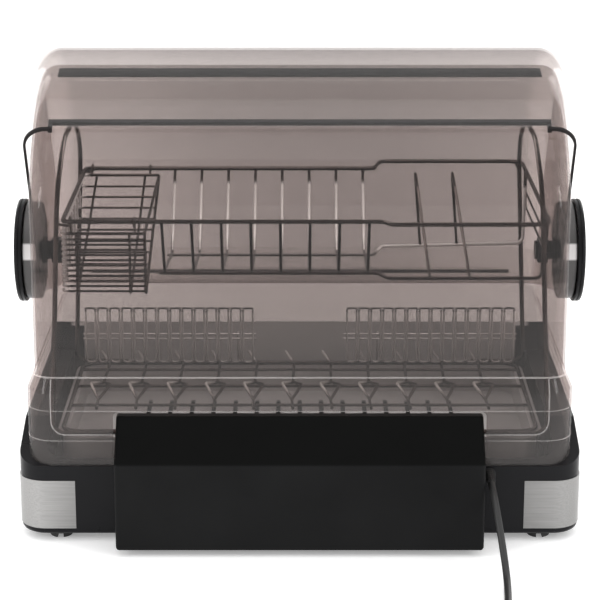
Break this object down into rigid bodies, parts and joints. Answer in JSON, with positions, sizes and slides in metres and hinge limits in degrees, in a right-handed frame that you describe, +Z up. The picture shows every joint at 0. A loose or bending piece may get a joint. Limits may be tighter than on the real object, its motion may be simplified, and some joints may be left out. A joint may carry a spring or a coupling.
{
  "type": "dish sterilizer cabinet",
  "caption": "Countertop dish dryer and sterilizer cabinet with a smoky clear lid that swings back over a clear shell, wire racks, a pull-out water tray and a rear heater and fan box.",
  "frame": {"origin": "on the table, under the middle of the cabinet's bounding box", "axes": "+Z up, +Y to the back (heater box and mains lead), front toward -Y, +X to the left side as the user faces the back"},
  "size_m": [0.6, 0.6914, 0.4725],
  "materials": {
    "base": "gloss black",
    "steel_trim": "satin",
    "foot_rubber": "matt",
    "clear_shell": "smoky clear, gloss",
    "clear_lid": "smoky clear, gloss",
    "lip": "matt",
    "seal": "matt",
    "hub": "satin grey",
    "disc": "satin black",
    "nut": "matt black",
    "wire": "bright",
    "tray_liner": "satin grey",
    "heater_box": "gloss black",
    "screw": "zinc plated",
    "fan_wheel": "satin",
    "motor": "satin",
    "bracket": "zinc plated",
    "ceramic_fins": "satin",
    "thermostat": "matt",
    "lamp": "clear",
    "lamp_socket": "matt",
    "grille": "matt",
    "terminals": "matt",
    "drip_tray": "satin",
    "panel": "gloss",
    "knob": "satin silver",
    "button": "satin silver",
    "lens": "clear red",
    "board": "matt",
    "cord": "matt",
    "plug": "matt",
    "pins": "bright"
  },
  "bodies": {
    "cabinet": {"base_housing": "base", "bottom_plate": "base", "bottom_screws": "screw", "feet": "foot_rubber", "steel_trim_left": "steel_trim", "steel_trim_right": "steel_trim", "body_shell": "clear_shell", "shell_lip": "lip", "pivot_disc_left": "disc", "pivot_disc_right": "disc", "pivot_nut_left": "nut", "pivot_nut_right": "nut", "arch_left": "wire", "arch_right": "wire", "upper_rack_frame": "wire", "plate_wires": "wire", "cup_wires": "wire", "cutlery_basket": "wire", "lower_rack": "wire", "plate_comb_left": "wire", "plate_comb_right": "wire", "inner_tray": "tray_liner", "heater_housing": "heater_box", "housing_screws": "screw", "fan_motor": "motor", "fan_bearing": "bracket", "heater_element": "ceramic_fins", "heater_frame": "bracket", "thermostat": "thermostat", "uv_lamp": "lamp", "lamp_holders": "lamp_socket", "air_grille": "grille", "terminal_block": "terminals", "tray_rails": "drip_tray", "control_panel": "panel", "timer_unit": "motor", "indicator_lens": "lens", "control_board": "board", "cord_gland": "cord", "mains_cord": "cord", "cord_coil": "cord", "mains_plug": "plug", "plug_pins": "pins"},
    "lid": {"lid": "clear_lid", "lid_seal": "seal", "lid_handle": "clear_lid", "pivot_hub_left": "hub", "pivot_hub_right": "hub"},
    "water_tray": {"drip_tray": "drip_tray", "tray_front": "base"},
    "timer_knob": {"timer_knob": "knob"},
    "power_button": {"power_button": "button"},
    "uv_button": {"uv_button": "button"},
    "fan": {"fan_impeller": "fan_wheel"}
  },
  "joints": [
    {"name": "lid_hinge", "type": "hinge", "parent": "cabinet", "child": "lid", "pos_m": [0, -0.01, 0.257], "axis": [-1, 0, 0], "range_deg": [0, 67]},
    {"name": "tray_slide", "type": "slide", "parent": "cabinet", "child": "water_tray", "axis": [0, -1, 0], "range_m": [0, 0.24]},
    {"name": "timer_turn", "type": "hinge", "parent": "cabinet", "child": "timer_knob", "pos_m": [0.07, -0.21, 0.092], "axis": [0, 1, 0], "range_deg": [0, 300]},
    {"name": "power_press", "type": "slide", "parent": "cabinet", "child": "power_button", "axis": [0, 1, 0], "range_m": [0, 0.0025], "stiffness_N_per_m": 300, "springref_m": -0.001},
    {"name": "uv_press", "type": "slide", "parent": "cabinet", "child": "uv_button", "axis": [0, 1, 0], "range_m": [0, 0.0025], "stiffness_N_per_m": 300, "springref_m": -0.001},
    {"name": "fan_spin", "type": "hinge", "parent": "cabinet", "child": "fan", "pos_m": [0, 0.2005, 0.032], "axis": [1, 0, 0], "continuous": true}
  ]
}
